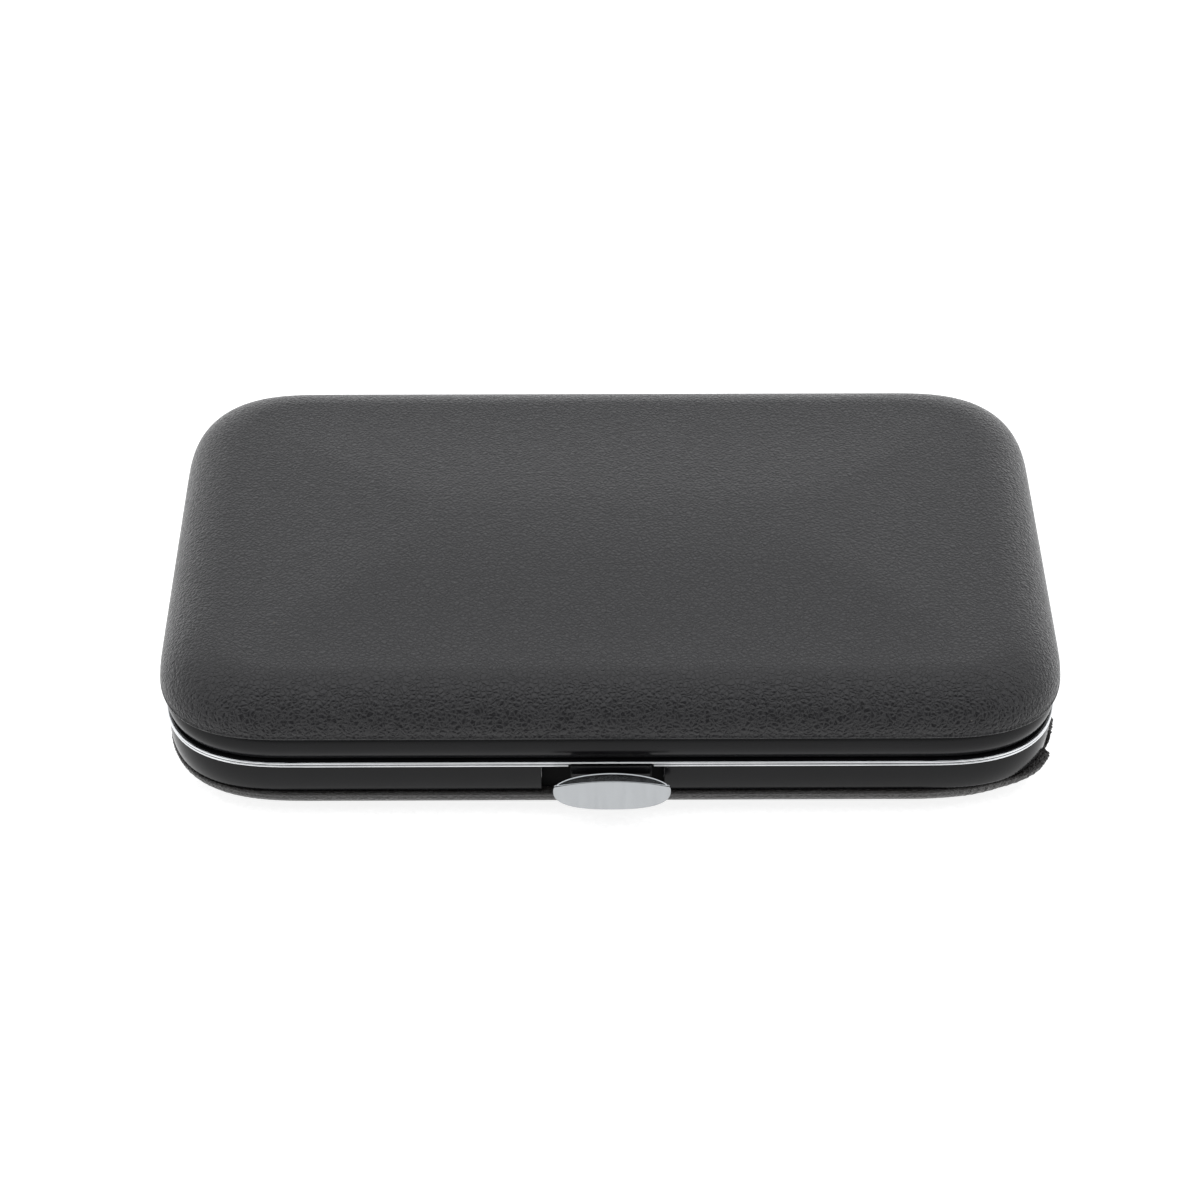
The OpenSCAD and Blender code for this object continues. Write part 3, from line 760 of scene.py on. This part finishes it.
CT = 5.92               # top of the tool card
ST = CT + 0.05 + 2 * 1.25 + 0.35
LC = ZT - 0.80          # lid lining
TZ = ZP + 2.0
for nm, x0, x1, y0, y1, zf, zt, t, body, flip, feet in [
    ("loop_blades", 24, 31, -1.5, 11.8, CT, ST, 0.6, "base", 1, (1.8, 1.8)),
    ("loop_shank", -10, -4, 4.5, 9.6, CT, ST, 0.6, "base", 1, (0, 1.8)),
    ("loop_tweezers", -12, -5, 25.6, 33.8, CT, CT + 0.05 + 3.2, 0.6, "base", 1, (1.6, 0)),
    ("loop_grip", -31, -25, 5, 15, LC, TZ - 0.08, 0.5, "lid", -1, (1.6, 1.6)),
    ("loop_file", 20, 26, 5, 15, LC, TZ - 0.08, 0.5, "lid", -1, (1.6, 1.6)),
    ("loop_pusher_a", -17, -11, 22.8, 26.2, LC, TZ - 0.5, 0.5, "lid", -1, (1.6, 1.6)),
    ("loop_pusher_b", 22, 28, 22.8, 26.2, LC, TZ - 0.5, 0.5, "lid", -1, (1.6, 1.6)),
]:
    o = strap(nm, x0, x1, y0, y1, zf, zt, t, M_STRAP, body, flip, feet)
    if nm == "loop_blades":
        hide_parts("scissor_loops")
    if nm == "loop_tweezers":
        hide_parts("tweezer_loop")
    if nm == "loop_grip":
        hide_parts("lid_loops")
    if feet[0] > 0:
        stitches(nm + "_st0", x0 + 0.5, x1 - 0.5, y0 - t - 0.85, zf + flip * (t + 0.02), body, flip)
    if feet[1] > 0:
        stitches(nm + "_st1", x0 + 0.5, x1 - 0.5, y1 + t + 0.85, zf + flip * (t + 0.02), body, flip)

# ---------------------------------------------------------------- stage, light, camera
fm = board_mat("floor_white", (0.42, 0.42, 0.42))
fb = fm.node_tree.nodes["Principled BSDF"]
fb.inputs["Roughness"].default_value = 0.7
# the table is a lit panel, as in a cut-out photograph
fb.inputs["Emission Color"].default_value = (1.0, 1.0, 1.0, 1)
fb.inputs["Emission Strength"].default_value = 0.85
me = bpy.data.meshes.new("floor")
S = 3.0
me.from_pydata([(-S, -S, -0.00002), (S, -S, -0.00002), (S, S, -0.00002), (-S, S, -0.00002)], [], [(0, 1, 2, 3)])
floor = bpy.data.objects.new("floor", me)
bpy.context.scene.collection.objects.link(floor)
me.materials.append(fm)

sc = bpy.context.scene
w = bpy.data.worlds.new("studio")
sc.world = w
w.use_nodes = True
# a plain pale tent with the camera's dimmer side in front
wt = w.node_tree
sky = wt.nodes.new("ShaderNodeTexCoord")
dot = wt.nodes.new("ShaderNodeVectorMath")
dot.operation = "DOT_PRODUCT"
wt.links.new(sky.outputs["Generated"], dot.inputs[0])
dot.inputs[1].default_value = (0.0, -0.92, 0.39)
tent = ramp(wt, mathn(wt, "ADD", mathn(wt, "MULTIPLY", dot.outputs["Value"], 0.5), 0.5),
            [(0.0, (1.12, 1.13, 1.15, 1)), (0.86, (1.12, 1.13, 1.15, 1)), (0.895, (0.6, 0.61, 0.63, 1)),
             (0.94, (0.12, 0.125, 0.13, 1)), (1.0, (0.07, 0.073, 0.077, 1))])
# the tent is brightest overhead
sep = wt.nodes.new("ShaderNodeSeparateXYZ")
wt.links.new(sky.outputs["Generated"], sep.inputs[0])
over = ramp(wt, sep.outputs["Z"], [(0.7, grey(0.66)), (0.88, grey(1.0))])
both = wt.nodes.new("ShaderNodeVectorMath")
both.operation = "MULTIPLY"
wt.links.new(tent.outputs[0], both.inputs[0])
wt.links.new(over.outputs[0], both.inputs[1])
wt.links.new(both.outputs[0], wt.nodes["Background"].inputs[0])
wt.nodes["Background"].inputs[1].default_value = 1.44


def area(name, loc, target, size, power, sy=None):
    ld = bpy.data.lights.new(name, "AREA")
    ld.shape = "RECTANGLE" if sy else "SQUARE"
    ld.size = size
    if sy:
        ld.size_y = sy
    ld.energy = power
    o = bpy.data.objects.new(name, ld)
    o.location = loc
    d = Vector(target) - Vector(loc)
    o.rotation_euler = d.to_track_quat("-Z", "Y").to_euler()
    sc.collection.objects.link(o)
    return o


key = area("key", (0.0, -0.05, 0.8), (0, 0.0, 0), 1.2, 3.5, 1.2)
key.visible_glossy = False

# camera: fitted to the photograph
U = 0.059
E = math.radians(36.45)
F, D, TX, TY, YAW = 3590.0, 8.33, -0.021, -0.0188, 0.005
up = Vector((0, math.sin(E), math.cos(E)))
fwd = Vector((0, math.cos(E), -math.sin(E)))
pos = Vector((TX, 0, 0)) + up * TY - fwd * D
R = Matrix.Rotation(-YAW, 4, "Z")
cam_d = bpy.data.cameras.new("camera")
cam = bpy.data.objects.new("camera", cam_d)
sc.collection.objects.link(cam)
cam_d.sensor_width = 36.0
cam_d.lens = F / 1200.0 * 36.0
cam_d.clip_start, cam_d.clip_end = 0.01, 20.0
right_v = Vector((1, 0, 0))
rot = Matrix((right_v, up, -fwd)).transposed().to_4x4()
place = R @ Matrix.Translation(pos * U) @ rot
cam.matrix_world = Matrix.Translation((0, 0, ZP * MM)) @ place
sc.camera = cam

sc.view_settings.view_transform = "Standard"
sc.view_settings.look = "None"
